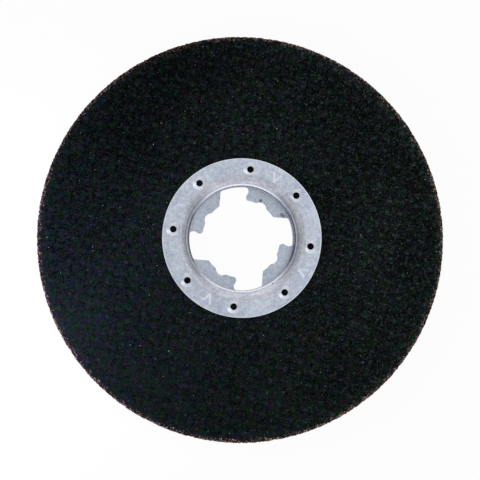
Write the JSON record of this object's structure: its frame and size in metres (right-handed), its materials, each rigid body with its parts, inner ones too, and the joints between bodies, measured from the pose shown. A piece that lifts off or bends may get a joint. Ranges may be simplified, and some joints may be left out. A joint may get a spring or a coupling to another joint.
{
  "type": "cut-off wheel",
  "caption": "Flat bonded abrasive cut-off wheel with a pressed steel quick-change hub and a four-lobed centre opening.",
  "frame": {"origin": "on the wheel's axis, at the bottom face of the hub that it rests on", "axes": "+Z along the wheel's axis, up from the tool side to the ring side; X and Y run through the middles of the four lobes"},
  "size_m": [0.115, 0.115, 0.0052],
  "materials": {
    "abrasive": "matt, near black, with a woven imprint and fine glinting grain",
    "zinc_plated_steel": "satin, faintly mottled zinc plating"
  },
  "bodies": {
    "root": {"abrasive_disc": "abrasive", "flange_ring": "zinc_plated_steel", "locking_plate": "zinc_plated_steel"}
  },
  "joints": []
}
